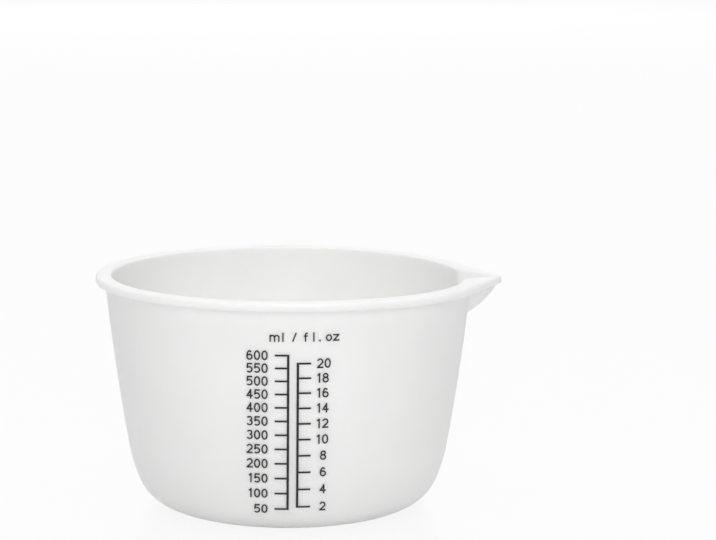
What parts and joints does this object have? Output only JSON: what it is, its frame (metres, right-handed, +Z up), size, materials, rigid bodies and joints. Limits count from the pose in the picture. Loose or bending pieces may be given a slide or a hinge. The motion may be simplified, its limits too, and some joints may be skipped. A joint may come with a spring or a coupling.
{
  "type": "resin mixing cup",
  "caption": "Tapered round mixing cup in translucent silicone with a flanged rim, a pouring beak and printed and moulded volume scales.",
  "frame": {"origin": "centre of the flat foot, on the surface that the cup stands on", "axes": "+Z up along the axis of the cup, +X towards the pouring beak, -Y out through the printed scale, +Y out through the moulded scale"},
  "size_m": [0.1439, 0.137, 0.0824],
  "materials": {
    "silicone": "translucent milky white silicone, satin",
    "ink": "matt black printed ink"
  },
  "bodies": {
    "root": {"cup_body": "silicone", "fl_oz_ladder": "ink", "fl_oz_numeral_002": "ink", "fl_oz_numeral_004": "ink", "fl_oz_numeral_006": "ink", "fl_oz_numeral_008": "ink", "fl_oz_numeral_010": "ink", "fl_oz_numeral_012": "ink", "fl_oz_numeral_014": "ink", "fl_oz_numeral_016": "ink", "fl_oz_numeral_018": "ink", "fl_oz_numeral_020": "ink", "heading_fl_oz": "ink", "heading_ml": "ink", "heading_slash": "ink", "ml_ladder": "ink", "ml_numeral_050": "ink", "ml_numeral_100": "ink", "ml_numeral_150": "ink", "ml_numeral_200": "ink", "ml_numeral_250": "ink", "ml_numeral_300": "ink", "ml_numeral_350": "ink", "ml_numeral_400": "ink", "ml_numeral_450": "ink", "ml_numeral_500": "ink", "ml_numeral_550": "ink", "ml_numeral_600": "ink", "moulded_scale": "silicone"}
  },
  "joints": []
}
